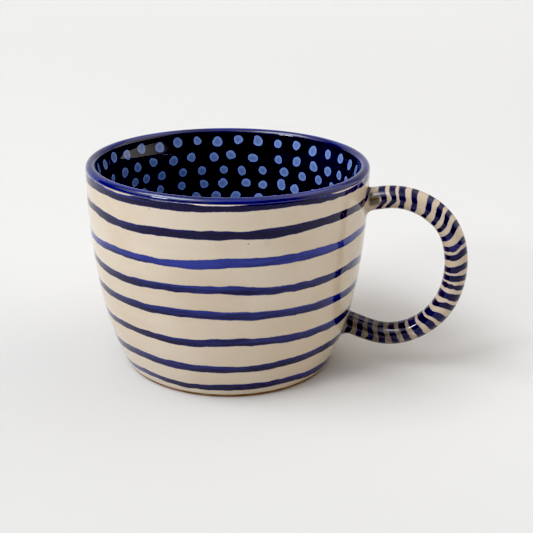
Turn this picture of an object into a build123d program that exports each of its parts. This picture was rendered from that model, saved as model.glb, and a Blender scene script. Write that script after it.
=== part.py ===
from build123d import *
import os

# A glazed stoneware mug: a thrown body, a loop handle luted on with slip at two places, and four
# areas of fired-on glaze. Millimetres, +Z up. The origin is the centre of the foot ring on the
# table, and the handle points along +X.

# Overall sizes, over the glaze
HEIGHT = 74.4
RIM_RADIUS = 50.0
LIP_RADIUS = 1.8
FOOT_RADIUS = 38.2

# Outside of the wall, over the glaze: (radius, z) from where it leaves the foot up towards the lip
FOOT_HEIGHT = 1.3
WALL_OUTLINE = [(38.9, FOOT_HEIGHT), (42.4, 10.0), (47.1, 30.0), (49.35, 50.0)]
WALL_START_SLOPE = (0.47, 1)

# Inside of the wall, on the clay: (radius, z) from below the lip, where the wall starts to taper,
# down to where the corner of the floor begins
INSIDE_OUTLINE = [(45.6, 67.0), (45.0, 57.0), (43.8, 42.0), (41.35, 27.0)]
INSIDE_CORNER_RADIUS = 38.6
INSIDE_CORNER_SLOPE = (-0.32, -1)
FLOOR_TOP = 6.6
FLOOR_CORNER = 9.0

# Foot ring and the recess under the floor
FOOT_RING_WIDTH = 4.6
FOOT_BEVEL = 0.5
RECESS_DEPTH = 1.5

# Fired-on glaze
GLAZE = 0.4

# Handle: centre line in the XZ plane, from the upper root on the wall round to the lower root
UPPER_ROOT = (49.6, 63.2)
UPPER_SLOPE = (1, 0.22)
LOWER_ROOT = (44.1, 16.6)
LOWER_SLOPE = (1, -0.27)
HANDLE_BENDS = [(60.5, 64.8), (76.7, 57.0), (81.7, 41.0), (75.6, 22.4), (58.5, 13.4)]
HANDLE_WIDTH = 8.0
HANDLE_THICKNESS = 7.2
HANDLE_SINK = 4.0

# Luting slip: a collar round each end of the handle
SLIP_AT_WALL = 2.4
SLIP_AT_END = 0.3
SLIP_LENGTH = 4.2
SLIP_SINK = 2.0


def outside_curve(inset):
    """Outside of the wall, moved inwards by inset, from the foot to the lip."""
    points = [(radius - inset, z) for radius, z in WALL_OUTLINE]
    points.append((RIM_RADIUS - inset, HEIGHT - LIP_RADIUS))
    return Spline(*points, tangents=(WALL_START_SLOPE, (0, 1)))


def lip_curve(inset):
    """Half circle over the lip, from the outside to the inside."""
    centre = RIM_RADIUS - LIP_RADIUS
    base = HEIGHT - LIP_RADIUS
    reach = LIP_RADIUS - inset
    return ThreePointArc((centre + reach, base), (centre, base + reach), (centre - reach, base))


def inside_curves(cover):
    """Inside of the mug from the lip to the middle of the floor, with cover on top of the clay."""
    lip = (RIM_RADIUS - 2 * LIP_RADIUS + GLAZE - cover, HEIGHT - LIP_RADIUS)
    points = [(radius - cover, z) for radius, z in INSIDE_OUTLINE]
    corner = (INSIDE_CORNER_RADIUS - cover, FLOOR_TOP + FLOOR_CORNER)
    floor = (INSIDE_CORNER_RADIUS - FLOOR_CORNER, FLOOR_TOP + cover)
    wall = Spline(lip, *points, corner, tangents=((0, -1), INSIDE_CORNER_SLOPE))
    bend = Spline(corner, floor, tangents=(INSIDE_CORNER_SLOPE, (-1, 0)))
    return [wall, bend, Line(floor, (0, FLOOR_TOP + cover))]


def turned(edges):
    """Solid of revolution about Z from a closed outline of (radius, z) edges."""
    return revolve(make_face(Plane.XZ * Curve(children=edges)), Axis.Z)


def make_core():
    """Everything inside the outside of the clay wall, used to cut the handle's ends to the wall."""
    outside = outside_curve(GLAZE)
    bottom = (0, FOOT_HEIGHT)
    top = (0, HEIGHT - LIP_RADIUS)
    return turned([Line(bottom, outside @ 0), outside, Line(outside @ 1, top), Line(top, bottom)])


def make_body():
    """Thrown wall, floor and unglazed foot ring, in one piece of clay."""
    outside = outside_curve(GLAZE)
    inside = inside_curves(0)
    recess = RECESS_DEPTH + GLAZE
    foot_inside = FOOT_RADIUS - FOOT_RING_WIDTH
    foot = Polyline(
        (0, FLOOR_TOP),
        (0, recess),
        (foot_inside, recess),
        (foot_inside, FOOT_BEVEL),
        (foot_inside + FOOT_BEVEL, 0),
        (FOOT_RADIUS - FOOT_BEVEL, 0),
        (FOOT_RADIUS, FOOT_BEVEL),
        (FOOT_RADIUS, FOOT_HEIGHT),
        outside @ 0,
    )
    return turned([*foot.edges(), outside, lip_curve(GLAZE), *inside])


def make_outer_glaze():
    """Clear glaze on the outside of the wall, from the foot to the lip."""
    clay = outside_curve(GLAZE)
    surface = outside_curve(0)
    return turned([clay, Line(clay @ 1, surface @ 1), surface, Line(surface @ 0, clay @ 0)])


def make_lining_glaze():
    """Coloured glaze over the lip and all of the inside."""
    clay = [lip_curve(GLAZE), *inside_curves(0)]
    surface = [lip_curve(0), *inside_curves(GLAZE)]
    lip_edge = Line(clay[0] @ 0, surface[0] @ 0)
    axis_edge = Line(clay[-1] @ 1, surface[-1] @ 1)
    return turned([*clay, lip_edge, *surface, axis_edge])


def make_base_glaze():
    """Glaze on the recessed base, inside the bare foot ring."""
    radius = FOOT_RADIUS - FOOT_RING_WIDTH
    return extrude(Pos(0, 0, RECESS_DEPTH) * Circle(radius), GLAZE)


def in_space(point):
    """A (radius, z) point in the handle's plane, as a point in space."""
    return Vector(point[0], 0, point[1])


def root_plane(root, slope):
    """Plane across the handle at one of its roots, facing away from the wall."""
    return Plane(origin=in_space(root), x_dir=(0, 1, 0), z_dir=in_space(slope))


def handle_section(plane, growth):
    """Handle's oval section on a plane, grown all round."""
    return plane * Ellipse(HANDLE_WIDTH / 2 + growth, HANDLE_THICKNESS / 2 + growth)


def handle_rod(growth, sink):
    """Swept loop, grown all round, running on into the wall by sink at both roots."""
    upper = in_space(UPPER_ROOT)
    lower = in_space(LOWER_ROOT)
    upper_way = in_space(UPPER_SLOPE).normalized()
    lower_way = in_space(LOWER_SLOPE).normalized()
    bends = [in_space(point) for point in HANDLE_BENDS]
    start = upper - upper_way * sink
    end = lower - lower_way * sink
    path = Spline(start, upper, *bends, lower, end, tangents=(upper_way, lower_way * -1))
    return sweep(handle_section(Plane(start, x_dir=(0, 1, 0), z_dir=upper_way), growth), path=path)


def slip_cone(root, slope, growth):
    """Tapered collar round the handle at one root, wide at the wall."""
    plane = root_plane(root, slope)
    inner = plane.offset(-SLIP_SINK)
    outer = plane.offset(SLIP_LENGTH)
    spread = (SLIP_AT_WALL - SLIP_AT_END) / SLIP_LENGTH
    wide = handle_section(inner, SLIP_AT_WALL + spread * SLIP_SINK + growth)
    narrow = handle_section(outer, SLIP_AT_END + growth)
    return loft([wide, narrow], ruled=True)


def main():
    core = make_core()
    rod = handle_rod(0, HANDLE_SINK + GLAZE)
    upper_cone = slip_cone(UPPER_ROOT, UPPER_SLOPE, 0)
    lower_cone = slip_cone(LOWER_ROOT, LOWER_SLOPE, 0)
    clay = rod + upper_cone + lower_cone
    covered = handle_rod(GLAZE, HANDLE_SINK)
    covered += slip_cone(UPPER_ROOT, UPPER_SLOPE, GLAZE)
    covered += slip_cone(LOWER_ROOT, LOWER_SLOPE, GLAZE)

    parts = {
        "body": make_body(),
        "handle": rod - core,
        "upper_handle_slip": upper_cone - core - rod,
        "lower_handle_slip": lower_cone - core - rod,
        "outer_glaze": make_outer_glaze() - covered,
        "lining_glaze": make_lining_glaze(),
        "base_glaze": make_base_glaze(),
        "handle_glaze": covered - core - clay,
    }
    os.makedirs("parts", exist_ok=True)
    for name, shape in parts.items():
        export_step(shape, f"parts/{name}.step")


main()
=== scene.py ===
import math

import bpy
import numpy as np
from mathutils import Matrix, Vector


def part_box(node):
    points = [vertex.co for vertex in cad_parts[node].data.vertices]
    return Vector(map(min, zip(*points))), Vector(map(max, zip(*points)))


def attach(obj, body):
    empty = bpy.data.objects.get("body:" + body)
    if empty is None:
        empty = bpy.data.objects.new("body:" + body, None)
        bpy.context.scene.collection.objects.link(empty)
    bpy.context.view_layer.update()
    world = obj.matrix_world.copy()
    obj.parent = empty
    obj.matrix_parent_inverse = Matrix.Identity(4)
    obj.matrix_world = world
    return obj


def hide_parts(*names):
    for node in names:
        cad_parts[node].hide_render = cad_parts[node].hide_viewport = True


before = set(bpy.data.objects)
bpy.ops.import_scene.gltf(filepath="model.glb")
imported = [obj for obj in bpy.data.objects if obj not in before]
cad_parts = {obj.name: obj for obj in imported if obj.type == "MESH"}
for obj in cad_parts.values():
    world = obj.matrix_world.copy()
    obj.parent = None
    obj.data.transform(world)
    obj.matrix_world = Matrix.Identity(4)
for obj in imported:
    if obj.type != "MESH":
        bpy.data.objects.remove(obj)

# Looks for the glazed stoneware mug. Lengths below are millimetres in the part's own frame: +Z up,
# origin at the centre of the foot ring, handle towards +X. Meshes are written in metres.
MM = 0.001
random = np.random.default_rng(20)
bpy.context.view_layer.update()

# ------------------------ sizes

# Overall sizes come from the frame
lining_low, lining_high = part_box("lining_glaze")
base_low, base_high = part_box("base_glaze")
body_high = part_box("body")[1]
HEIGHT = lining_high.z / MM
RIM_RADIUS = lining_high.x / MM
FLOOR_TOP = lining_low.z / MM
RECESS_RADIUS = base_high.x / MM
RECESS_LOW = base_low.z / MM
RECESS_HIGH = base_high.z / MM
GLAZE = RIM_RADIUS - body_high.x / MM

# The design's driving dimensions
LIP_RADIUS = 1.8
FOOT_RADIUS = 38.2
FOOT_HEIGHT = 1.3
WALL_OUTLINE = [(38.9, FOOT_HEIGHT), (42.4, 10.0), (47.1, 30.0), (49.35, 50.0)]
WALL_START_SLOPE = (0.47, 1)
INSIDE_OUTLINE = [(45.6, 67.0), (45.0, 57.0), (43.8, 42.0), (41.35, 27.0)]
INSIDE_CORNER_RADIUS = 38.6
INSIDE_CORNER_SLOPE = (-0.32, -1)
FLOOR_CORNER = 9.0
UPPER_ROOT = (49.6, 63.2)
UPPER_SLOPE = (1, 0.22)
LOWER_ROOT = (44.1, 16.6)
LOWER_SLOPE = (1, -0.27)
HANDLE_BENDS = [(60.5, 64.8), (76.7, 57.0), (81.7, 41.0), (75.6, 22.4), (58.5, 13.4)]
HANDLE_WIDTH = 8.0
HANDLE_THICKNESS = 7.2

# Luting slip: how far it spreads over the wall on the side that faces up and on the side that faces
# down, and how far it reaches along the handle for each mm that it spreads
SLIP_ABOVE = 0.9
SLIP_BELOW = 3.0
SLIP_REACH = 1.2

# Foot ring: the rounding of its edges
FOOT_BEVEL = 0.5

# Mesh fineness: steps round a turned piece, and mm between points along its outline
OUTER_TURNS = 560
LINING_TURNS = 400
CLAY_TURNS = 320
BASE_TURNS = 256
GRAIN = 0.5
LINING_GRAIN = 0.6
CLAY_GRAIN = 2.0
HIDDEN_GRAIN = 4.0
FOOT_GRAIN = 0.6
BASE_GRAIN = 1.5
CURVE_STEPS = 80

# How many points lie on each arc: the foot's edges, then the lip on its skin, under it and on the clay
BEVEL_POINTS = 6
LIP_POINTS = 14
HIDDEN_LIP_POINTS = 8
CLAY_LIP_POINTS = 9

# Stands for a depth inside the paint where there is no paint near
NO_PAINT = -50.0


# ------------------------ curves

def unit(vector):
    vector = np.array(vector, float)
    return vector / np.linalg.norm(vector)


def unit_rows(vectors):
    return vectors / np.linalg.norm(vectors, axis=1)[:, None]


def smooth_curve(points, first_way, last_way, spacing=0.1):
    """Evenly spaced points on the smooth curve through some points, with both end directions set."""
    points = np.array(points, float)
    chords = np.linalg.norm(np.diff(points, axis=0), axis=1)
    count = len(points)
    matrix = np.eye(count)
    right = np.zeros_like(points)
    right[0] = unit(first_way)
    right[-1] = unit(last_way)
    for i in range(1, count - 1):
        before = chords[i - 1]
        after = chords[i]
        matrix[i, i - 1:i + 2] = after, 2 * (before + after), before
        rise = after / before * (points[i] - points[i - 1])
        run = before / after * (points[i + 1] - points[i])
        right[i] = 3 * (rise + run)
    slopes = np.linalg.solve(matrix, right)
    spans = []
    for i, chord in enumerate(chords):
        t = np.linspace(0, 1, CURVE_STEPS, endpoint=False)[:, None]
        start = (2 * t**3 - 3 * t**2 + 1) * points[i] + (t**3 - 2 * t**2 + t) * chord * slopes[i]
        end = (3 * t**2 - 2 * t**3) * points[i + 1] + (t**3 - t**2) * chord * slopes[i + 1]
        spans.append(start + end)
    return evenly(np.vstack(spans + [points[-1:]]), spacing)


def distances(points):
    """How far along a polyline each of its points lies."""
    return np.concatenate([[0], np.cumsum(np.linalg.norm(np.diff(points, axis=0), axis=1))])


def evenly(points, spacing):
    """The same polyline with points at an even spacing, keeping both ends."""
    points = np.array(points, float)
    along = distances(points)
    count = max(2, int(round(along[-1] / spacing)) + 1)
    wanted = np.linspace(0, along[-1], count)
    return np.stack([np.interp(wanted, along, column) for column in points.T], axis=1)


def arc(centre, radius, start, end, count):
    """Points on an arc between two angles in degrees."""
    angles = np.radians(np.linspace(start, end, count))
    return np.stack([centre[0] + radius * np.cos(angles), centre[1] + radius * np.sin(angles)], axis=1)


def around(knots, angle):
    """Smooth closed curve through evenly spaced values round a circle, read at an angle."""
    knots = np.array(knots, float)
    place = (angle / (2 * math.pi) % 1.0) * len(knots)
    index = np.floor(place).astype(int)
    t = place - index
    a, b, c, d = (knots[(index + step) % len(knots)] for step in (-1, 0, 1, 2))
    return b + 0.5 * t * (c - a + t * (2 * a - 5 * b + 4 * c - d + t * (3 * (b - c) + d - a)))


def turn_between(angle, middle):
    """Signed angle from middle to angle, the short way round."""
    return np.angle(np.exp(1j * (angle - middle)))


def outside_curve(inset, spacing=0.1):
    """(radius, z) up the outside of the wall, moved inwards by inset."""
    points = [(radius - inset, z) for radius, z in WALL_OUTLINE]
    points.append((RIM_RADIUS - inset, HEIGHT - LIP_RADIUS))
    return smooth_curve(points, WALL_START_SLOPE, (0, 1), spacing)


def lip_curve(inset, count):
    """(radius, z) over the lip from the outside to the inside."""
    return arc((RIM_RADIUS - LIP_RADIUS, HEIGHT - LIP_RADIUS), LIP_RADIUS - inset, 0, 180, count)


def inside_curve(cover, spacing):
    """(radius, z) down the inside wall and across the floor to the axis."""
    lip = (RIM_RADIUS - 2 * LIP_RADIUS + GLAZE - cover, HEIGHT - LIP_RADIUS)
    points = [(radius - cover, z) for radius, z in INSIDE_OUTLINE]
    corner = (INSIDE_CORNER_RADIUS - cover, FLOOR_TOP + FLOOR_CORNER)
    floor = (INSIDE_CORNER_RADIUS - FLOOR_CORNER, FLOOR_TOP + cover)
    wall = smooth_curve([lip, *points, corner], (0, -1), INSIDE_CORNER_SLOPE, spacing)
    bend = smooth_curve([corner, floor], INSIDE_CORNER_SLOPE, (-1, 0), spacing)
    flat = evenly([floor, (0, FLOOR_TOP + cover)], spacing)
    return np.vstack([wall, bend[1:], flat[1:]])


OUTSIDE = outside_curve(0)


def wall_radius(z, inset=0.0):
    """Radius of the outside of the wall at a height."""
    return np.interp(z, OUTSIDE[:, 1], OUTSIDE[:, 0]) - inset


# Hand-made unevenness of the wall, in mm: two and three lobes round it, broad throwing rings and a finer
# ripple up it with the height of one wave, and how far it all stands inside the true turned shape, so
# that no swelling passes the CAD's box. The rings fade out near the lip and the foot
TWO_LOBES = 0.07
THREE_LOBES = 0.04
RING_SWELL = 0.035
RING_WAVE = 11.0
RIPPLE_SWELL = 0.02
RIPPLE_WAVE = 4.3
UNEVEN_INSET = 0.17
LIP_CALM = 12.0
FOOT_CALM = (2.0, 8.0)


def unevenness(angle, z):
    """How far the hand-made wall stands outside a true turned shape, in mm, which is always below 0."""
    oval = TWO_LOBES * np.cos(2 * angle + 0.7) + THREE_LOBES * np.cos(3 * angle + 2.1)
    below_lip = np.clip((HEIGHT - z) / LIP_CALM, 0, 1)
    above_foot = np.clip((z - FOOT_CALM[0]) / FOOT_CALM[1], 0, 1)
    wander = angle + 0.8 * np.cos(2 * angle)
    rings = RING_SWELL * np.sin(2 * math.pi * z / RING_WAVE + wander)
    ripple = RIPPLE_SWELL * np.sin(2 * math.pi * z / RIPPLE_WAVE - 2 * angle)
    return oval + below_lip * above_foot * (rings + ripple) - UNEVEN_INSET


# ------------------------ meshes

def make_piece(name, points, faces, material, slot, **fields):
    """Mesh object from points in mm, with named values on its points, for the CAD node of its name."""
    mesh = bpy.data.meshes.new(name)
    mesh.from_pydata((np.asarray(points) * MM).tolist(), [], faces)
    mesh.validate()
    for field, values in fields.items():
        attribute = mesh.attributes.new(field, "FLOAT", "POINT")
        attribute.data.foreach_set("value", np.asarray(values, np.float32))
    mesh.shade_smooth()
    mesh.materials.append(material)
    piece = bpy.data.objects.new(name, mesh)
    bpy.context.scene.collection.objects.link(piece)
    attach(piece, "root")
    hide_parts(name)


def ring_grid(rows, columns, first=0):
    """Faces of a grid that closes round its columns: rows is how many rings there are."""
    faces = []
    for row in range(rows - 1):
        low = first + row * columns
        high = low + columns
        for column in range(columns):
            after = (column + 1) % columns
            faces.append((low + column, low + after, high + after, high + column))
    return faces


def turned(outline, turns, closed):
    """Points, faces and each point's angle for a turned shape with the hand-made unevenness.

    A closed outline is a ring-shaped section. An open one starts and ends on the axis.
    """
    outline = np.array(outline, float)
    body = outline if closed else outline[1:-1]
    angles = np.arange(turns) * 2 * math.pi / turns
    radius = body[:, 0][:, None] * np.ones(turns)
    z = body[:, 1][:, None] * np.ones(turns)
    angle = np.ones(len(body))[:, None] * angles
    radius = radius + unevenness(angle, z) * np.clip(radius / RIM_RADIUS, 0, 1)
    points = np.stack([radius * np.cos(angle), radius * np.sin(angle), z], axis=-1).reshape(-1, 3)
    faces = ring_grid(len(body), turns)
    angle = angle.reshape(-1)
    last = (len(body) - 1) * turns
    if closed:
        faces += [(last + i, last + (i + 1) % turns, (i + 1) % turns, i) for i in range(turns)]
    else:
        start = len(points)
        end = start + 1
        points = np.vstack([points, [0, 0, outline[0, 1]], [0, 0, outline[-1, 1]]])
        faces += [(start, (i + 1) % turns, i) for i in range(turns)]
        faces += [(end, last + i, last + (i + 1) % turns) for i in range(turns)]
        angle = np.append(angle, [0, 0])
    return points, faces, angle


# ------------------------ painted bands on the wall

# One row for each brushed band, from the lip down: its width at the left, front and right, how pale it
# is (0 to 1), and the height of its middle every 15 degrees across the front, where the brush wanders.
# Heights and widths were read off the photo, in mm, and a few were then corrected
BANDS = [
    ((2.9, 2.3, 1.9), 0.10, (71.2, 71.0, 71.3, 71.2, 71.3, 71.8, 71.7, 71.6, 71.7)),
    ((2.8, 3.1, 2.5), 0.00, (62.7, 62.0, 62.1, 62.6, 62.7, 62.7, 63.5, 64.1, 64.1)),
    ((2.6, 3.2, 2.7), 0.80, (51.5, 51.9, 52.0, 52.2, 53.3, 53.3, 53.7, 53.8, 54.2)),
    ((2.7, 2.9, 3.0), 0.30, (42.6, 42.6, 43.2, 43.6, 44.0, 42.9, 42.9, 43.2, 43.6)),
    ((2.9, 3.1, 3.2), 0.36, (33.9, 34.0, 34.4, 34.7, 34.4, 34.0, 33.8, 33.7, 33.4)),
    ((2.5, 3.0, 3.1), 0.28, (23.0, 23.6, 23.4, 23.5, 24.3, 24.1, 23.6, 23.4, 23.1)),
    ((3.1, 2.9, 3.3), 0.24, (12.6, 13.4, 13.0, 13.1, 13.0, 13.1, 13.6, 13.9, 13.7)),
    ((2.3, 3.0, 3.2), 0.24, (4.2, 5.0, 4.6, 4.5, 4.9, 4.9, 5.1, 4.4, 3.9)),
]
BAND_STEP = 15
BAND_START = -135

# The brush's ways, in mm: how far a band wanders where the photo doesn't show it, the size and count of
# the bumps on its edges, and where the stroke's end lies over its start: half the overlap's length, its
# shift up or down, and how much thinner it is
WANDER = 0.35
BAND_BUMPS = ((0.09, 36), (0.06, 110))
OVERLAP_HALF = 3.5
OVERLAP_SHIFT = 0.9
OVERLAP_THINNER = 0.1

# How uneven a band's paleness is, as size and count, and how much paler its upper edge is
BAND_CLOUD = (0.12, 12)
UPPER_EDGE_LIFT = 0.22


def band_path(heights):
    """Band's middle at each 15 degrees all round, starting at +X, with the unseen part wandering."""
    count = 360 // BAND_STEP
    seen = len(heights)
    hidden = count - seen
    share = np.arange(1, hidden + 1) / (hidden + 1)
    back = heights[-1] + (heights[0] - heights[-1]) * share + random.normal(0, WANDER, hidden)
    path = np.concatenate([heights, back])
    return np.roll(path, BAND_START // BAND_STEP)


def bumps(size, count, angle):
    """Random closed curve round a circle, with count knots of this typical size, read at an angle."""
    return around(random.normal(0, size, count), angle)


def band_fields(angle, z):
    """Distance inside the nearest band's edge, in mm, and that band's paleness."""
    depth = np.full(len(z), NO_PAINT)
    tone = np.zeros(len(z))
    for widths, pale, heights in BANDS:
        middle = around(band_path(heights), angle)
        left, front, right = widths
        back = (left + right) / 2
        half = around([right, back, back, left, left, front], angle) / 2
        for size, count in BAND_BUMPS:
            half = half + bumps(size, count, angle)
            middle = middle + bumps(size, count, angle)
        shade = pale + bumps(*BAND_CLOUD, angle)
        join = math.radians(random.uniform(60, 130))
        swing = turn_between(angle, join) * wall_radius(z)
        shift = random.choice([-OVERLAP_SHIFT, OVERLAP_SHIFT])
        overlap = np.hypot(np.maximum(np.abs(swing) - OVERLAP_HALF, 0), z - middle - shift)
        inside = np.maximum(half - np.abs(z - middle), half - OVERLAP_THINNER - overlap)
        nearer = inside > depth
        depth = np.where(nearer, inside, depth)
        lift = np.clip((z - middle) / half, -1, 1)
        tone = np.where(nearer, shade + UPPER_EDGE_LIFT * lift, tone)
    return depth, tone


# ------------------------ dabbed dots on the lining

# Dabs lie in loose rows, in mm: the gap along a row and between rows, the first row's distance down the
# lining, how far a dab may stray, less in the first row, and the radius inside which it strays no
# further round. Each dab takes the clearest of a few tries
DOT_SPACING = 8.2
DOT_ROW = 5.3
FIRST_DOT_ROW = 3.0
DOT_JITTER = 1.9
DOT_JITTER_DOWN = 0.7 * DOT_JITTER
FIRST_ROW_JITTER = 0.5
DOT_AXIS_CALM = 4.0
DOT_TRIES = 12

# A dab's radius in mm, its range as shares of that, how far its edge waves in and out two, three and four
# times round as shares too, how far out points are looked at, and how high its paint stands, in mm, and
# how far inside its edge it reaches that height
DOT_RADIUS = 1.84
DOT_SIZES = (0.88, 1.10)
DOT_WAVES = [0.05, 0.035, 0.02]
DOT_REACH = 4.0
DOT_LIFT = 0.06
DOT_SHOULDER = 0.6

# How far below the top of the lip, inside, the bright blue of the lip starts to darken, in mm
LIP_BLUE_START = 0.2


def dot_places(outline, along):
    """(distance down the lining, angle) of each dab: loose rows, with each dab clear of those before it."""
    places = []
    spots = []
    first_row = True
    down = FIRST_DOT_ROW
    while down < along[-1] - DOT_ROW / 2:
        radius = np.interp(down, along, outline[:, 0])
        count = max(1, int(round(2 * math.pi * radius / DOT_SPACING)))
        start = random.uniform(0, 2 * math.pi)
        for i in range(count):
            shifts = random.uniform(-1, 1, (DOT_TRIES, 2)) * (DOT_JITTER, DOT_JITTER_DOWN)
            if first_row:
                shifts = shifts * FIRST_ROW_JITTER
            angles = start + 2 * math.pi * i / count + shifts[:, 0] / max(radius, DOT_AXIS_CALM)
            downs = down + shifts[:, 1]
            radii = np.interp(downs, along, outline[:, 0])
            heights = np.interp(downs, along, outline[:, 1])
            tries = np.stack([radii * np.cos(angles), radii * np.sin(angles), heights], axis=1)
            best = 0
            if spots:
                gaps = np.linalg.norm(tries[:, None] - np.array(spots)[None], axis=2).min(axis=1)
                best = int(np.argmax(gaps))
            spots.append(tries[best])
            places.append((downs[best], angles[best] % (2 * math.pi)))
        first_row = False
        down += DOT_ROW
    return places


def dot_depth(points, places, outline, along):
    """Distance inside the nearest dab's edge, in mm."""
    depth = np.full(len(points), NO_PAINT)
    radii = np.interp([p[0] for p in places], along, outline[:, 0])
    heights = np.interp([p[0] for p in places], along, outline[:, 1])
    for (down, angle), radius, z in zip(places, radii, heights):
        out = np.array([math.cos(angle), math.sin(angle), 0.0])
        side = np.array([-math.sin(angle), math.cos(angle), 0.0])
        around_dab = [down - 0.5, down + 0.5]
        inwards = np.diff(np.interp(around_dab, along, outline[:, 0]))[0]
        fall = np.diff(np.interp(around_dab, along, outline[:, 1]))[0]
        way = unit(out * inwards + np.array([0, 0, fall]))
        size = DOT_RADIUS * random.uniform(*DOT_SIZES)
        wobbles = random.normal(0, DOT_WAVES)
        phases = random.uniform(0, 2 * math.pi, len(DOT_WAVES))
        random.uniform()  # spare draw, kept so that every later one stays the one compared with the photo
        offset = points - (out * radius + np.array([0, 0, z]))
        near = np.einsum("ij,ij->i", offset, offset) < DOT_REACH**2
        part = offset[near]
        x = part @ side
        y = part @ way
        turn = np.arctan2(y, x)
        edge = np.ones(len(turn))
        for waves, (wobble, phase) in enumerate(zip(wobbles, phases), start=2):
            edge = edge + wobble * np.cos(waves * turn + phase)
        inside = size * edge - np.hypot(x, y)
        best = inside > depth[near]
        index = np.flatnonzero(near)[best]
        depth[index] = inside[best]
    return depth


# ------------------------ handle

HANDLE_COLUMNS = 112
HANDLE_TURN = np.arange(HANDLE_COLUMNS) * 2 * math.pi / HANDLE_COLUMNS
LOWER_WAY = (-LOWER_SLOPE[0], -LOWER_SLOPE[1])
LINE = smooth_curve([UPPER_ROOT, *HANDLE_BENDS, LOWER_ROOT], UPPER_SLOPE, LOWER_WAY, GRAIN)
LINE_WAY = unit_rows(np.gradient(LINE, axis=0))
LINE_PLACE = distances(LINE)
HANDLE_LENGTH = LINE_PLACE[-1]

# How full the hand-pulled rod is against its true size, with two slow swellings, each with its height
# and its turn for each mm along. It stays below 1, so that the handle keeps inside the CAD's box
ROD_FULLNESS = 0.984
ROD_SWELL = 0.008
ROD_TURNS = (0.31, 0.13)

# How far the rod reaches into the wall, how far a collar's hidden side lies in towards the rod's middle,
# and how far its skin stands out from the inside of the glaze, a little below 0 so that they don't cross
ROD_SINK = 1.6
SLIP_SINK = 0.7
SLIP_GROWTH = -0.02

# The collars: steps from the wall to the handle, how far their edge sinks into the wall's skin, in mm,
# how many times a point is moved nearer to the wall, and the plain stretch and its steps up to the
# handle's first even ring
GLAZE_STEPS = 14
SLIP_STEPS = 10
INNER_STEPS = 6
EDGE_SINK = 0.03
FOOT_TRIES = 6
EDGE_TRIES = 3
BRIDGE = 2.5
BRIDGE_STEPS = 10


def tube_ring(point, way, growth, place):
    """Ring of points round the handle. It starts on the outside of the loop and turns towards -Y."""
    hand = ROD_FULLNESS
    for start, turn in enumerate(ROD_TURNS, start=1):
        hand += ROD_SWELL * math.sin(place * turn + start)
    across = (HANDLE_THICKNESS / 2 * hand + growth) * np.cos(HANDLE_TURN)
    sideways = (HANDLE_WIDTH / 2 * hand + growth) * np.sin(HANDLE_TURN)
    return np.stack([point[0] - across * way[1], -sideways, point[1] + across * way[0]], axis=1)


def wall_gap(points, inset):
    """How far points stand outside the wall, measured along their radius."""
    angle = np.arctan2(points[:, 1], points[:, 0])
    wall = wall_radius(points[:, 2], inset) + unevenness(angle, points[:, 2])
    return np.hypot(points[:, 0], points[:, 1]) - wall


def root_rings(at_start, growth, steps):
    """Rings from the wall out to the handle over the concave fillet of luting slip.

    Each point of the handle's end ring goes to the wall's skin, and from there outwards over the wall.
    """
    index = 0 if at_start else -1
    flat_way = unit(UPPER_SLOPE if at_start else LOWER_SLOPE)
    way = np.array([flat_way[0], 0, flat_way[1]])
    line_way = LINE_WAY[index]
    foot = tube_ring(LINE[index], line_way, growth, LINE_PLACE[index])
    outwards = unit_rows(foot - foot.mean(axis=0))
    down = 0.5 - 0.5 * outwards[:, 2]
    spread = (SLIP_ABOVE + (SLIP_BELOW - SLIP_ABOVE) * down**2)[:, None]
    for _ in range(FOOT_TRIES):
        foot = foot - np.outer(wall_gap(foot, GLAZE - growth) / way[0], way)
    edge = foot + outwards * spread
    for _ in range(EDGE_TRIES):
        radial = edge * [1, 1, 0] / np.hypot(edge[:, 0], edge[:, 1])[:, None]
        edge = edge - radial * (wall_gap(edge, GLAZE - growth) + EDGE_SINK)[:, None]
    meet = foot + way * spread * SLIP_REACH
    t = np.linspace(0, 1, steps)[:, None, None]
    return (1 - t) ** 2 * edge + 2 * t * (1 - t) * foot + t**2 * meet


def handle_rings(growth, steps):
    """All the rings of the handle's skin from wall to wall, and how far along it each point lies."""
    clear = SLIP_BELOW * SLIP_REACH + BRIDGE
    inside = (LINE_PLACE > clear) & (LINE_PLACE < HANDLE_LENGTH - clear)
    picked = list(zip(LINE[inside], LINE_WAY[inside], LINE_PLACE[inside]))
    middle = np.array([tube_ring(point, way, growth, place) for point, way, place in picked])
    places = np.array([place for _, _, place in picked])[:, None] * np.ones(HANDLE_COLUMNS)
    upper, upper_places = root_end(True, growth, steps, middle[0], places[0])
    lower, lower_places = root_end(False, growth, steps, middle[-1], places[-1])
    rings = np.concatenate([upper, middle, lower[::-1]])
    return rings, np.concatenate([upper_places, places, lower_places[::-1]])


def root_end(at_start, growth, steps, first_ring, first_place):
    """Fillet rings and the short straight piece up to the handle's first even ring."""
    fillet = root_rings(at_start, growth, steps)
    root = LINE[0] if at_start else LINE[-1]
    along = (fillet[:, :, [0, 2]] - root) @ unit(UPPER_SLOPE if at_start else LOWER_SLOPE)
    places = along if at_start else HANDLE_LENGTH - along
    share = np.linspace(0, 1, BRIDGE_STEPS)[1:-1]
    bridge = fillet[-1] + share[:, None, None] * (first_ring - fillet[-1])
    bridge_places = places[-1] + share[:, None] * (first_place - places[-1])
    return np.concatenate([fillet, bridge]), np.concatenate([places, bridge_places])


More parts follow.
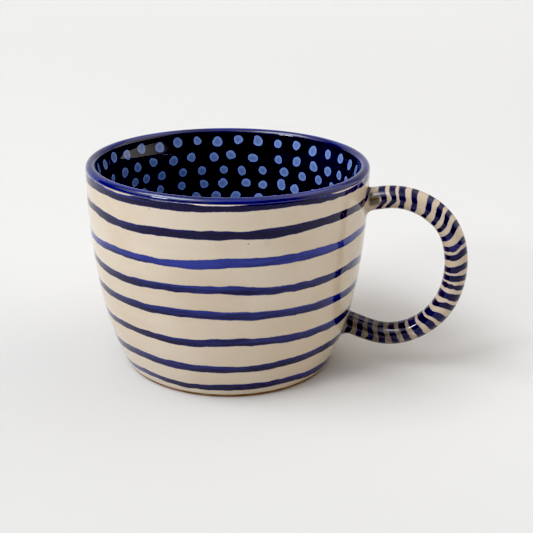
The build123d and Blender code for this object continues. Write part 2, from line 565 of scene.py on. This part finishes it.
# Brushed rings round the handle, from the upper root on: how far along each one's middle lies on the
# outside of the loop, on its side and on its inside, then the stroke's width, all read off the photo
RINGS = [
    (5.8, 6.5, 4.1, 1.8), (9.1, 9.8, 7.3, 1.6), (12.0, 12.8, 12.5, 1.8), (15.8, 16.9, 17.2, 1.7),
    (20.9, 21.9, 21.9, 1.7), (24.7, 25.9, 26.6, 1.6), (27.8, 29.5, 30.2, 1.6), (31.6, 33.5, 34.1, 1.9),
    (36.9, 38.3, 38.3, 1.9), (40.3, 41.6, 41.7, 2.0), (45.0, 46.1, 46.6, 1.9), (49.0, 49.4, 49.7, 2.0),
    (52.5, 52.5, 52.6, 1.7), (56.2, 56.3, 56.6, 2.3), (60.0, 59.9, 61.4, 1.9), (64.9, 64.7, 66.1, 2.3),
    (69.1, 68.8, 70.1, 2.0), (73.9, 73.8, 74.5, 2.2), (78.5, 78.6, 79.0, 1.9), (82.5, 82.8, 83.5, 1.9),
    (87.1, 87.1, 88.2, 1.9), (91.7, 91.1, 92.6, 1.7), (95.3, 95.5, 96.2, 1.7), (99.9, 99.3, 100.0, 1.6),
]

# How much wider the brush lays a ring than its stated width, in mm, how far a ring wanders on the side of
# the handle that the photo doesn't show, its edge's bumps, and its paleness
BRUSH_SPREAD = 0.3
RING_WANDER = 0.35
RING_BUMPS = (0.09, 22)
RING_PALENESS = (-0.1, 0.25)

# Where along the lower run the paint pools wider on the inside of the loop: middle, length and width
POOL_PLACE = 74.0
POOL_LENGTH = 12.0
POOL_WIDTH = 0.22

# Brush strokes that outline the two roots: half width, distance from the collar's edge to the middle, the
# degrees over which an end thins out, and the middle and sweep of each one round the handle, in degrees
ROOT_STROKE_HALF = 0.75
ROOT_STROKE_PLACE = 0.5
ROOT_STROKE_FADE = 15.0
UPPER_STROKE = (35, 45)
LOWER_STROKE = (40, 25)

# Brown, darker glaze on the handle: painted shade at the upper root, where it meets the wall, and along the
# lower run iron stain with painted shade, strongest on the inside of the loop and towards the lower root,
# where the mug's body shades the handle. At the root: its middle and length along the handle, its middle
# and sweep round it, and how steeply it builds up. Along the run: where it starts, how far it takes to
# build up, and its strength on the loop's side with its swing round the rod
ROOT_SHADE_PLACE = 3.2
ROOT_SHADE_LENGTH = 2.6
ROOT_SHADE_TURN = math.radians(75)
ROOT_SHADE_SWEEP = math.radians(50)
ROOT_SHADE_STEEPNESS = 1.6
RUN_STAIN_AND_SHADE_START = 64.0
RUN_STAIN_AND_SHADE_RISE = 22.0
RUN_STAIN_AND_SHADE = 0.80
RUN_STAIN_AND_SHADE_SWING = 0.20


def ring_fields(place):
    """Distance inside the nearest painted ring's edge, in mm, and that ring's paleness."""
    angle = np.ones(len(place))[:, None] * HANDLE_TURN
    depth = np.full(place.shape, NO_PAINT)
    tone = np.zeros(place.shape)
    for outer, side, inner, width in RINGS:
        far = (outer + inner) / 2 + random.normal(0, RING_WANDER, 3)
        middle = around([outer, outer, side, inner, inner, *far], angle)
        pool = POOL_WIDTH * math.exp(-((side - POOL_PLACE) / POOL_LENGTH) ** 2) * (1 - np.cos(angle))
        ragged = bumps(*RING_BUMPS, angle)
        inside = (width + BRUSH_SPREAD) / 2 + pool + ragged - np.abs(place - middle)
        nearer = inside > depth
        depth = np.where(nearer, inside, depth)
        tone = np.where(nearer, random.uniform(*RING_PALENESS), tone)
    return depth.reshape(-1), tone.reshape(-1)


def stain_field(place):
    """How strongly the handle's glaze is browned and darkened, from 0 to 1: painted shade at the upper
    root, and iron stain with painted shade along the lower run.
    """
    near_turn = 1 - np.abs(turn_between(HANDLE_TURN, ROOT_SHADE_TURN)) / ROOT_SHADE_SWEEP
    near_root = 1 - np.abs(place - ROOT_SHADE_PLACE) / ROOT_SHADE_LENGTH
    root = np.clip(np.minimum(near_turn, near_root) * ROOT_SHADE_STEEPNESS, 0, 1)
    rise = np.clip((place - RUN_STAIN_AND_SHADE_START) / RUN_STAIN_AND_SHADE_RISE, 0, 1)
    run = rise * (RUN_STAIN_AND_SHADE - RUN_STAIN_AND_SHADE_SWING * np.cos(HANDLE_TURN))
    return np.maximum(root, run).reshape(-1)


def root_stroke(rings, steps, at_start, middle, sweep):
    """Distance inside the brush stroke that outlines a root, over a part of its turn in degrees."""
    depth = np.full(rings.shape[:2], NO_PAINT)
    rows = range(steps) if at_start else range(len(rings) - 1, len(rings) - 1 - steps, -1)
    edge = rings[rows[0]]
    swing = np.degrees(np.abs(turn_between(HANDLE_TURN, math.radians(middle))))
    thin = np.clip((swing - sweep) / ROOT_STROKE_FADE, 0, 2)
    for row in rows:
        gap = np.linalg.norm(rings[row] - edge, axis=1)
        depth[row] = ROOT_STROKE_HALF - np.abs(gap - ROOT_STROKE_PLACE) - thin
    return depth.reshape(-1)


# ------------------------ materials

def linear(red, green, blue):
    """Scene colour of a display colour given in 0 to 255."""
    parts = [value / 255 for value in (red, green, blue)]
    return [p / 12.92 if p <= 0.04045 else ((p + 0.055) / 1.055) ** 2.4 for p in parts] + [1.0]


GLAZE_SHINE = 0.5
LINING_SHINE = 0.7


class Shader:
    """A node tree, with short calls to add nodes and join them."""

    def __init__(self, owner):
        self.owner = owner
        owner.use_nodes = True
        self.tree = owner.node_tree
        self.tree.nodes.clear()

    def add(self, kind, output=0, **inputs):
        """Adds a node, sets its options and inputs by name, and gives one of its outputs."""
        node = self.tree.nodes.new(kind)
        for key, value in inputs.items():
            name = key.replace("_", " ")
            socket = node.inputs.get(name) or node.inputs.get(name.title())
            if key.startswith("in"):
                socket = node.inputs[int(key[2:])] if key[2:].isdigit() else socket
            if socket is None:
                setattr(node, key, value)
            elif isinstance(value, bpy.types.NodeSocket):
                self.tree.links.new(value, socket)
            else:
                socket.default_value = value
        return node.outputs[output]

    def place(self):
        """Place on the object, in metres."""
        return self.add("ShaderNodeTexCoord", output=3)

    def value(self, name):
        """Named value that a mesh carries on its points."""
        return self.add("ShaderNodeAttribute", output=2, attribute_name=name)

    def sum(self, a, b):
        return self.add("ShaderNodeMath", operation="ADD", in0=a, in1=b)

    def times(self, a, b):
        return self.add("ShaderNodeMath", operation="MULTIPLY", in0=a, in1=b)

    def ramp(self, value, low, high, out_low=0.0, out_high=1.0):
        """Smooth step from out_low to out_high as a value goes from low to high."""
        return self.add(
            "ShaderNodeMapRange", interpolation_type="SMOOTHSTEP",
            in0=value, in1=low, in2=high, in3=out_low, in4=out_high,
        )

    def mix(self, share, a, b):
        """Colour between a and b."""
        node = self.tree.nodes.new("ShaderNodeMix")
        node.data_type = "RGBA"
        for socket, value in ((node.inputs[0], share), (node.inputs[6], a), (node.inputs[7], b)):
            if isinstance(value, bpy.types.NodeSocket):
                self.tree.links.new(value, socket)
            else:
                socket.default_value = value
        return node.outputs[2]

    def lighter(self, a, b):
        """Sum of two colours."""
        return self.add("ShaderNodeVectorMath", operation="ADD", in0=a, in1=b)

    def facing(self, a, b):
        """How far vector a points or lies along the direction b."""
        return self.add("ShaderNodeVectorMath", output=1, operation="DOT_PRODUCT", in0=a, in1=tuple(b))

    def stretched(self, x, y, z):
        """Object place in metres, scaled so that noise on it stretches."""
        return self.add("ShaderNodeMapping", output=0, in0=self.place(), in3=(x, y, z))

    def noise(self, scale, detail=2.0, rough=0.5, vector=None):
        """Noise whose blobs are about one over scale metres, from 0 to 1."""
        return self.add(
            "ShaderNodeTexNoise", in0=vector or self.place(), in2=scale, in3=detail, in4=rough
        )

    def finish(self, colour, roughness, bump=None, depth=0.0, specular=GLAZE_SHINE):
        """Ends the tree in a surface, with a bump of this depth in metres, and gives the material."""
        shade = self.tree.nodes.new("ShaderNodeBsdfPrincipled")
        out = self.tree.nodes.new("ShaderNodeOutputMaterial")
        for name, value in (("Base Color", colour), ("Roughness", roughness)):
            if isinstance(value, bpy.types.NodeSocket):
                self.tree.links.new(value, shade.inputs[name])
            else:
                shade.inputs[name].default_value = value
        shade.inputs["IOR"].default_value = 1.5
        shade.inputs["Specular IOR Level"].default_value = specular
        if bump is not None:
            normal = self.add("ShaderNodeBump", Strength=1.0, Distance=depth, Height=bump)
            self.tree.links.new(normal, shade.inputs["Normal"])
        self.tree.links.new(shade.outputs[0], out.inputs[0])
        return self.owner


CREAM = linear(222, 207, 186)
CREAM_WARM = linear(215, 197, 173)
# The handle's cream, darker than the wall's: partly its own tone and partly painted shade, as the mug's
# body shades the handle
SHADED_HANDLE_CREAM = linear(208, 191, 168)
SHADED_HANDLE_CREAM_WARM = linear(194, 174, 149)
# Brown mixed into the handle's cream by the stain field: iron stain, with painted shade at the upper root
# and along the lower run
IRON_STAIN_AND_SHADE = linear(104, 92, 70)
# Near-black laid over the handle's cream and rings by half the stain field: painted shade
PAINTED_SHADE_DARK = linear(24, 18, 20)
COBALT_DARK = linear(15, 8, 50)
COBALT_PALE = linear(46, 57, 146)
COBALT_EDGE = linear(32, 38, 116)

# The two specks and the faint smear that the photo shows on the wall: each one's angle in degrees, its
# height and size in mm, its strength and its colour
MARKS = [
    (-105, 69.2, 0.42, 0.75, linear(70, 74, 92)),
    (-68, 59.8, 0.34, 0.7, linear(84, 80, 88)),
    (-61, 60.0, 1.5, 0.14, linear(146, 146, 160)),
]


def cream_ground(shader, light=CREAM, warm=CREAM_WARM):
    """Cream clay seen through clear glaze: cloudy tone, fine grain and a few iron specks."""
    cloud = shader.ramp(shader.noise(38.0, 3.0), 0.35, 0.68)
    ground = shader.mix(cloud, light, warm)
    grain = shader.ramp(shader.noise(2600.0, 2.0), 0.30, 0.75, 0.0, 0.10)
    ground = shader.mix(grain, ground, linear(176, 148, 118))
    cells = shader.add("ShaderNodeTexVoronoi", in0=shader.place(), in2=125.0)
    pick = shader.add("ShaderNodeTexVoronoi", output=1, in0=shader.place(), in2=125.0)
    chosen = shader.ramp(shader.add("ShaderNodeSeparateColor", in0=pick), 0.90, 0.905)
    speck = shader.times(shader.ramp(cells, 0.07, 0.03), chosen)
    return shader.mix(shader.times(speck, 0.6), ground, linear(92, 84, 84))


def spot(shader, colour, angle, z, size, strength, tint):
    """A single small mark on the wall at an angle in degrees, with its height and size in mm."""
    turn = math.radians(angle)
    radius = wall_radius(z)
    centre = (radius * MM * math.cos(turn), radius * MM * math.sin(turn), z * MM)
    gap = shader.add(
        "ShaderNodeVectorMath", output=1, operation="DISTANCE", in0=shader.place(), in1=centre
    )
    share = shader.ramp(gap, size * 1.15 * MM, size * 0.6 * MM, 0.0, strength)
    return shader.mix(share, colour, tint)


def ragged_depth(shader, name, scale, reach):
    """Depth inside the paint, in mm, moved in and out by noise by up to reach."""
    noise = shader.noise(scale, 3.0, 0.6)
    wander = shader.add(
        "ShaderNodeMath", operation="MULTIPLY_ADD", in0=noise, in1=2 * reach, in2=-reach
    )
    return shader.sum(shader.value(name), wander)


def painted(shader, ground, depth_name, tone_name):
    """Cobalt brushwork over a ground: soft ragged edge, streaks along the stroke, paler edge."""
    streak = shader.noise(1.0, 4.0, 0.6, shader.stretched(60.0, 60.0, 1500.0))
    edge = ragged_depth(shader, depth_name, 900.0, 0.18)
    mask = shader.ramp(edge, -0.13, 0.13)
    pool = shader.ramp(streak, 0.30, 0.75, -0.22, 0.30)
    tone = shader.ramp(shader.sum(shader.value(tone_name), pool), 0.0, 1.0)
    paint = shader.mix(tone, COBALT_DARK, COBALT_PALE)
    rim = shader.ramp(edge, 0.42, 0.05, 0.0, 0.55)
    paint = shader.mix(rim, paint, COBALT_EDGE)
    return shader.mix(mask, ground, paint)


def glaze_bump(shader):
    """Faint orange-peel of a fired glaze."""
    fine = shader.noise(420.0, 2.0)
    broad = shader.noise(90.0, 1.0)
    return shader.sum(shader.times(fine, 0.35), broad)


def glaze_roughness(shader, low, high):
    """Roughness of a glaze, cloudy between two values."""
    return shader.ramp(shader.noise(60.0, 2.0), 0.3, 0.7, low, high)


def make_outer_material():
    """Painted clear glaze on the wall, with the photo's specks and smear."""
    shader = Shader(bpy.data.materials.new("painted_clear_glaze"))
    ground = cream_ground(shader)
    for mark in MARKS:
        ground = spot(shader, ground, *mark)
    colour = painted(shader, ground, "band_depth", "band_tone")
    return shader.finish(colour, glaze_roughness(shader, 0.03, 0.07), glaze_bump(shader), 0.04 * MM)


def make_handle_material():
    """Painted clear glaze on the handle, browner and darker at the upper root and along the lower run,
    where iron stain and painted shade lie.
    """
    shader = Shader(bpy.data.materials.new("painted_handle_glaze"))
    ground = cream_ground(shader, SHADED_HANDLE_CREAM, SHADED_HANDLE_CREAM_WARM)
    patchy = shader.noise(420.0, 3.0)
    stain = shader.ramp(shader.sum(shader.value("stain"), patchy), 0.65, 1.45, 0.0, 0.85)
    ground = shader.mix(stain, ground, IRON_STAIN_AND_SHADE)
    colour = painted(shader, ground, "ring_depth", "ring_tone")
    # Painted shade: darkens cream and rings together where the stain field lies
    colour = shader.mix(shader.times(stain, 0.5), colour, PAINTED_SHADE_DARK)
    return shader.finish(colour, glaze_roughness(shader, 0.03, 0.07), glaze_bump(shader), 0.04 * MM)


def make_lining_material():
    """Blue-black glaze with dabbed dots inside, breaking to bright blue over the lip."""
    shader = Shader(bpy.data.materials.new("cobalt_lining_glaze"))
    cloud = shader.ramp(shader.noise(70.0, 3.0), 0.35, 0.7)
    dark = shader.mix(cloud, linear(24, 18, 38), linear(26, 18, 52))
    streak = shader.noise(1.0, 4.0, 0.6, shader.stretched(45.0, 45.0, 1700.0))
    blue = shader.mix(shader.ramp(streak, 0.35, 0.7), linear(10, 13, 76), linear(24, 40, 134))
    lip = shader.ramp(shader.value("lip_depth"), 1.6, -0.4)
    ground = shader.mix(lip, dark, blue)
    edge = ragged_depth(shader, "dot_depth", 1300.0, 0.12)
    mask = shader.ramp(edge, -0.16, 0.12)
    core = shader.ramp(edge, 0.35, 1.25)
    dab = shader.mix(core, linear(134, 160, 216), linear(112, 134, 190))
    mottle = shader.ramp(shader.noise(1500.0, 2.0), 0.35, 0.7, 0.0, 0.25)
    dab = shader.mix(mottle, dab, linear(90, 106, 168))
    colour = shader.mix(mask, ground, dab)
    rough = glaze_roughness(shader, 0.02, 0.05)
    return shader.finish(colour, rough, glaze_bump(shader), 0.03 * MM, LINING_SHINE)


def make_clay_material():
    """Bare fired stoneware: warm, matt, cloudy and gritty."""
    shader = Shader(bpy.data.materials.new("bare_stoneware"))
    cloud = shader.ramp(shader.noise(160.0, 4.0), 0.3, 0.7)
    colour = shader.mix(cloud, linear(168, 130, 92), linear(132, 96, 64))
    grit = shader.noise(3200.0, 3.0, 0.7)
    colour = shader.mix(shader.ramp(grit, 0.62, 0.74, 0.0, 0.6), colour, linear(108, 78, 54))
    return shader.finish(colour, shader.ramp(grit, 0.3, 0.7, 0.7, 0.92), grit, 0.12 * MM, 0.3)


def make_slip_material():
    """Fired luting slip, a little paler and smoother than the clay."""
    shader = Shader(bpy.data.materials.new("fired_slip"))
    cloud = shader.ramp(shader.noise(300.0, 3.0), 0.3, 0.7)
    colour = shader.mix(cloud, linear(206, 178, 142), linear(186, 154, 116))
    grit = shader.noise(2400.0, 2.0, 0.6)
    return shader.finish(colour, 0.8, grit, 0.06 * MM, 0.3)


def make_base_material():
    """Clear glaze in the recess under the foot, with specks and duller where it pooled."""
    shader = Shader(bpy.data.materials.new("clear_base_glaze"))
    ground = cream_ground(shader)
    pool = shader.ramp(shader.noise(45.0, 3.0), 0.35, 0.7, 0.0, 0.5)
    colour = shader.mix(pool, ground, linear(190, 176, 150))
    return shader.finish(colour, 0.1, glaze_bump(shader), 0.05 * MM)


# ------------------------ the mug's pieces

def build_body(material):
    """Thrown wall, floor and bare foot ring."""
    inner_edge = RECESS_RADIUS + FOOT_BEVEL
    outer_edge = FOOT_RADIUS - FOOT_BEVEL
    outline = np.vstack([
        evenly([(0, RECESS_HIGH), (RECESS_RADIUS, RECESS_HIGH)], HIDDEN_GRAIN),
        arc((inner_edge, FOOT_BEVEL), FOOT_BEVEL, 180, 270, BEVEL_POINTS),
        evenly([(inner_edge + FOOT_GRAIN / 2, 0), (outer_edge - FOOT_GRAIN / 2, 0)], FOOT_GRAIN),
        arc((outer_edge, FOOT_BEVEL), FOOT_BEVEL, 270, 360, BEVEL_POINTS),
        [(FOOT_RADIUS, FOOT_HEIGHT)],
        outside_curve(GLAZE, CLAY_GRAIN),
        lip_curve(GLAZE, CLAY_LIP_POINTS)[1:-1],
        inside_curve(0, CLAY_GRAIN),
    ])
    points, faces, _ = turned(outline, CLAY_TURNS, closed=False)
    make_piece("body", points, faces, material, "stoneware")


def build_outer_glaze(material):
    """Clear glaze outside the wall, from above the bare foot up to the lip."""
    outline = np.vstack([outside_curve(0, GRAIN), outside_curve(GLAZE, HIDDEN_GRAIN)[::-1]])
    points, faces, angle = turned(outline, OUTER_TURNS, closed=True)
    depth, tone = band_fields(angle, points[:, 2])
    make_piece(
        "outer_glaze", points, faces, material, "clear_glaze", band_depth=depth, band_tone=tone
    )


def build_lining_glaze(material):
    """Coloured glaze over the lip and all of the inside, with slightly raised dabs."""
    surface = np.vstack([lip_curve(0, LIP_POINTS)[:-1], inside_curve(GLAZE, LINING_GRAIN)])
    clay = np.vstack([lip_curve(GLAZE, HIDDEN_LIP_POINTS)[:-1], inside_curve(0, HIDDEN_GRAIN)])
    outline = np.vstack([surface[::-1], clay])
    points, faces, _ = turned(outline, LINING_TURNS, closed=False)
    inner = inside_curve(GLAZE, GRAIN)
    along = distances(inner)
    depth = dot_depth(points, dot_places(inner, along), inner, along)
    lift = DOT_LIFT * np.sqrt(np.clip(depth / DOT_SHOULDER, 0, 1))
    middle = [0, 0, 0.75 * HEIGHT]
    points = points + unit_rows(middle - points) * lift[:, None]
    outside = np.hypot(points[:, 0], points[:, 1]) > RIM_RADIUS - LIP_RADIUS
    lip_depth = np.where(outside, 0.0, HEIGHT - points[:, 2] - LIP_BLUE_START)
    make_piece(
        "lining_glaze", points, faces, material, "cobalt_glaze", dot_depth=depth, lip_depth=lip_depth
    )


def build_base_glaze(material):
    """Thin disc of glaze in the recess under the mug."""
    outline = np.vstack([
        evenly([(0, RECESS_LOW), (RECESS_RADIUS, RECESS_LOW)], BASE_GRAIN),
        evenly([(RECESS_RADIUS, RECESS_HIGH), (0, RECESS_HIGH)], HIDDEN_GRAIN),
    ])
    points, faces, _ = turned(outline, BASE_TURNS, closed=False)
    make_piece("base_glaze", points, faces, material, "clear_glaze")


def build_handle(material):
    """Pulled clay rod of the handle, with both ends sunk a little into the wall."""
    start = LINE[0] - LINE_WAY[0] * ROD_SINK
    end = LINE[-1] + LINE_WAY[-1] * ROD_SINK
    rings = [tube_ring(start, LINE_WAY[0], 0.0, 0.0)]
    for point, way, place in zip(LINE[::3], LINE_WAY[::3], LINE_PLACE[::3]):
        rings.append(tube_ring(point, way, 0.0, place))
    rings.append(tube_ring(end, LINE_WAY[-1], 0.0, HANDLE_LENGTH))
    points = np.concatenate(rings)
    faces = [face[::-1] for face in ring_grid(len(rings), HANDLE_COLUMNS)]
    last = len(points) - HANDLE_COLUMNS
    faces.append(tuple(range(HANDLE_COLUMNS)))
    faces.append(tuple(range(last, len(points)))[::-1])
    make_piece("handle", points, faces, material, "stoneware")


def build_slip(name, at_start, material):
    """Collar of luting slip in the corner between the handle and the wall."""
    skin = root_rings(at_start, SLIP_GROWTH, SLIP_STEPS)
    heart = skin[[0, -1]].mean(axis=0)
    inner = heart - SLIP_SINK * unit_rows(heart - skin.mean(axis=(0, 1)))
    points = np.concatenate([skin.reshape(-1, 3), inner])
    rows = len(skin) + 1
    faces = ring_grid(rows, HANDLE_COLUMNS)
    last = (rows - 1) * HANDLE_COLUMNS
    for i in range(HANDLE_COLUMNS):
        after = (i + 1) % HANDLE_COLUMNS
        faces.append((last + i, last + after, after, i))
    if at_start:
        faces = [face[::-1] for face in faces]
    make_piece(name, points, faces, material, "luting_slip")


def build_handle_glaze(material):
    """Clear glaze round the handle and both collars, with its painted rings."""
    outer, places = handle_rings(GLAZE, GLAZE_STEPS)
    inner = handle_rings(0.0, INNER_STEPS)[0][::3]
    depth, tone = ring_fields(places)
    depth = np.maximum(depth, root_stroke(outer, GLAZE_STEPS, True, *UPPER_STROKE))
    depth = np.maximum(depth, root_stroke(outer, GLAZE_STEPS, False, *LOWER_STROKE))
    points = np.vstack([outer.reshape(-1, 3), inner.reshape(-1, 3)])
    start = outer.shape[0] * HANDLE_COLUMNS
    faces = [face[::-1] for face in ring_grid(len(outer), HANDLE_COLUMNS)]
    faces += ring_grid(len(inner), HANDLE_COLUMNS, start)
    outer_last = start - HANDLE_COLUMNS
    inner_last = len(points) - HANDLE_COLUMNS
    for i in range(HANDLE_COLUMNS):
        after = (i + 1) % HANDLE_COLUMNS
        faces.append((i, after, start + after, start + i))
        faces.append((inner_last + i, inner_last + after, outer_last + after, outer_last + i))
    hidden = len(points) - start
    make_piece(
        "handle_glaze", points, faces, material, "clear_glaze",
        # Iron stain and painted shade on the handle's skin
        stain=np.concatenate([stain_field(places), np.zeros(hidden)]),
        ring_depth=np.concatenate([depth, np.full(hidden, NO_PAINT)]),
        ring_tone=np.concatenate([tone, np.zeros(hidden)]),
    )


body_material = make_clay_material()
slip_material = make_slip_material()
build_body(body_material)
build_outer_glaze(make_outer_material())
build_lining_glaze(make_lining_material())
build_base_glaze(make_base_material())
build_handle_glaze(make_handle_material())
build_handle(body_material)
build_slip("upper_handle_slip", True, slip_material)
build_slip("lower_handle_slip", False, slip_material)


# ------------------------ stage, light and camera

# Pale paper that the mug stands on, in mm: how far it reaches to the camera's side, away and to each side,
# how high it goes, the radius of its bend, and its colour near the camera, at the mug and far behind it.
# The darker colour near the camera is painted shade and the paler colour far behind is painted light
PAPER_FRONT = 2500.0
PAPER_BACK = 2600.0
PAPER_HALF = 4000.0
PAPER_HEIGHT = 3200.0
PAPER_BEND = 800.0
PAPER_NEAR_PAINTED_SHADE = [0.650, 0.630, 0.604, 1]
PAPER_MIDDLE = [0.700, 0.678, 0.650, 1]
PAPER_FAR_PAINTED_LIGHT = [0.790, 0.766, 0.735, 1]

# The azimuth along which the paper's painted light and shade change, in degrees, and where each change
# starts and ends
PAPER_PAINTED_LIGHT_WAY = 70
NEAR_PAINTED_SHADE_CHANGE = (-130.0, 60.0)
FAR_PAINTED_LIGHT_CHANGE = (300.0, 1500.0)

# The picture shows the handle turned this much towards the camera, in degrees
VIEW_TURN = 15.0


def make_paper_material():
    """Matt paper whose tone grows paler away from the camera and towards the handle's side: painted shade
    near the camera and painted light far behind.
    """
    shader = Shader(bpy.data.materials.new("pale_paper"))
    away = shader.facing(shader.place(), aim(PAPER_PAINTED_LIGHT_WAY, 0))
    start, end = NEAR_PAINTED_SHADE_CHANGE
    shade = shader.mix(shader.ramp(away, start * MM, end * MM), PAPER_NEAR_PAINTED_SHADE, PAPER_MIDDLE)
    start, end = FAR_PAINTED_LIGHT_CHANGE
    shade = shader.mix(shader.ramp(away, start * MM, end * MM), shade, PAPER_FAR_PAINTED_LIGHT)
    return shader.finish(shade, 0.9, specular=0.1)


def build_stage():
    """Paper floor that curves up into a backdrop."""
    outline = np.vstack([
        [(-PAPER_FRONT, 0.0)],
        arc((PAPER_BACK - PAPER_BEND, PAPER_BEND), PAPER_BEND, -90, 0, 24),
        [(PAPER_BACK, PAPER_HEIGHT)],
    ])
    turn = math.radians(VIEW_TURN)
    points = []
    for side in (-PAPER_HALF, PAPER_HALF):
        for y, z in outline:
            x = side * math.cos(turn) - y * math.sin(turn)
            points.append((x * MM, (side * math.sin(turn) + y * math.cos(turn)) * MM, z * MM))
    count = len(outline)
    faces = [(i, i + 1, count + i + 1, count + i) for i in range(count - 1)]
    mesh = bpy.data.meshes.new("floor")
    mesh.from_pydata(points, [], [face[::-1] for face in faces])
    mesh.shade_smooth()
    mesh.materials.append(make_paper_material())
    floor = bpy.data.objects.new("floor", mesh)
    bpy.context.scene.collection.objects.link(floor)


def aim(azimuth, elevation):
    """Unit vector at an azimuth from +X and an elevation, in degrees."""
    a, e = math.radians(azimuth), math.radians(elevation)
    return Vector((math.cos(e) * math.cos(a), math.cos(e) * math.sin(a), math.sin(e)))


# Height on the mug that the lamps face
LIT_HEIGHT = 40.0


def add_softbox(name, azimuth, elevation, distance, width, height, power, colour):
    """Rectangular lamp facing the mug, with angles in degrees, sizes in metres and its power in watts."""
    light = bpy.data.lights.new(name, "AREA")
    light.shape = "RECTANGLE"
    light.size = width
    light.size_y = height
    light.energy = power
    light.color = colour
    lamp = bpy.data.objects.new(name, light)
    lamp.location = Vector((0, 0, LIT_HEIGHT * MM)) + aim(azimuth, elevation) * distance
    lamp.rotation_euler = (-aim(azimuth, elevation)).to_track_quat("-Z", "Y").to_euler()
    bpy.context.scene.collection.objects.link(lamp)


# Soft glows round the room: azimuth and elevation of the middle, angles where it starts to fade and
# where it ends, then its strength, its colour and the lowest elevation where it's at full strength.
# Angles are in degrees, and each glow fades out over the FADE degrees below its lowest elevation
COOL = (0.96, 1.01, 1.08)
WARM = (1.03, 0.97, 0.87)
GLOWS = [
    (-136, 40, 20, 46, 1.22, COOL, 26),
    (-160, 36, 22, 48, 0.28, COOL, 26),
    (34, 24, 22, 60, 1.05, WARM, 0),
    (-75, 58, 20, 46, 0.22, WARM, 36),
    (0, 90, 24, 58, 0.62, COOL, 30),
]
FADE = 9

# Lamps: azimuth and elevation in degrees, distance, width and height in metres, power in watts, colour
LAMPS = [
    ("key", -145, 56, 4.0, 2.8, 1.4, 70.0, COOL),
    ("low_key", -133, 28, 4.0, 0.9, 0.4, 26.0, COOL),
]

# The light of the rest of the room, and the plain tone that the camera sees past the paper's edges
ROOM_DIM = 0.02
BACKDROP = [0.84, 0.84, 0.84, 1]


def build_world():
    """Room light from the glows, the brightest at the left, which the camera itself doesn't see."""
    world = bpy.data.worlds.new("room")
    bpy.context.scene.world = world
    shader = Shader(world)
    way = shader.add("ShaderNodeTexCoord")
    height = shader.add("ShaderNodeSeparateXYZ", output=2, in0=way)
    total = shader.add("ShaderNodeCombineXYZ", in0=ROOM_DIM, in1=ROOM_DIM, in2=ROOM_DIM)
    for azimuth, elevation, inner, outer, strength, colour, lowest in GLOWS:
        edge = math.cos(math.radians(outer))
        full = math.cos(math.radians(inner))
        share = shader.ramp(shader.facing(way, aim(azimuth, elevation)), edge, full)
        start = math.sin(math.radians(lowest - FADE))
        end = math.sin(math.radians(lowest))
        share = shader.times(share, shader.ramp(height, start, end))
        tint = [strength * part for part in colour]
        total = shader.mix(share, total, shader.lighter(total, tint))
    seen = shader.add("ShaderNodeLightPath")
    total = shader.mix(seen, total, BACKDROP)
    glow = shader.add("ShaderNodeBackground", output=0, in0=total)
    out = shader.tree.nodes.new("ShaderNodeOutputWorld")
    shader.tree.links.new(glow, out.inputs[0])


# The picture is printed with this much taken off its darkest tones
BLACK_POINT = 0.024

# Camera as worked out for the picture: its distance from the mug's axis and its height, its angles in
# degrees, and its lens and sensor
VIEW_DISTANCE = 331.6
VIEW_HEIGHT = 160.0
VIEW_PITCH = 20.87
VIEW_YAW = 2.39
VIEW_ROLL = 0.66
FOCAL = 65.06
SENSOR = 36.0


def build_camera():
    """Camera of the picture, as the scene's camera."""
    turn = math.radians(VIEW_TURN)
    heading = math.radians(90 - VIEW_YAW + VIEW_TURN)
    pitch = math.radians(VIEW_PITCH)
    roll = math.radians(VIEW_ROLL)
    level = Vector((math.cos(heading), math.sin(heading), 0))
    ahead = math.cos(pitch) * level - math.sin(pitch) * Vector((0, 0, 1))
    right = Vector((math.sin(heading), -math.cos(heading), 0))
    up = right.cross(ahead)
    side = math.cos(roll) * right + math.sin(roll) * up
    top = -math.sin(roll) * right + math.cos(roll) * up
    level_place = Vector((math.sin(turn), -math.cos(turn), 0)) * VIEW_DISTANCE
    place = (level_place + Vector((0, 0, VIEW_HEIGHT))) * MM
    columns = Matrix((side, top, -ahead)).transposed().to_4x4()
    data = bpy.data.cameras.new("camera")
    data.lens = FOCAL
    data.sensor_width = SENSOR
    camera = bpy.data.objects.new("camera", data)
    camera.matrix_world = Matrix.Translation(place) @ columns
    bpy.context.scene.collection.objects.link(camera)
    bpy.context.scene.camera = camera


def set_print():
    """Plain print of the scene's light, with its darkest tones taken down to black."""
    view = bpy.context.scene.view_settings
    view.view_transform = "Standard"
    view.use_curve_mapping = True
    view.curve_mapping.black_level = (BLACK_POINT,) * 3
    view.curve_mapping.update()


build_stage()
build_world()
build_camera()
for lamp in LAMPS:
    add_softbox(*lamp)
set_print()
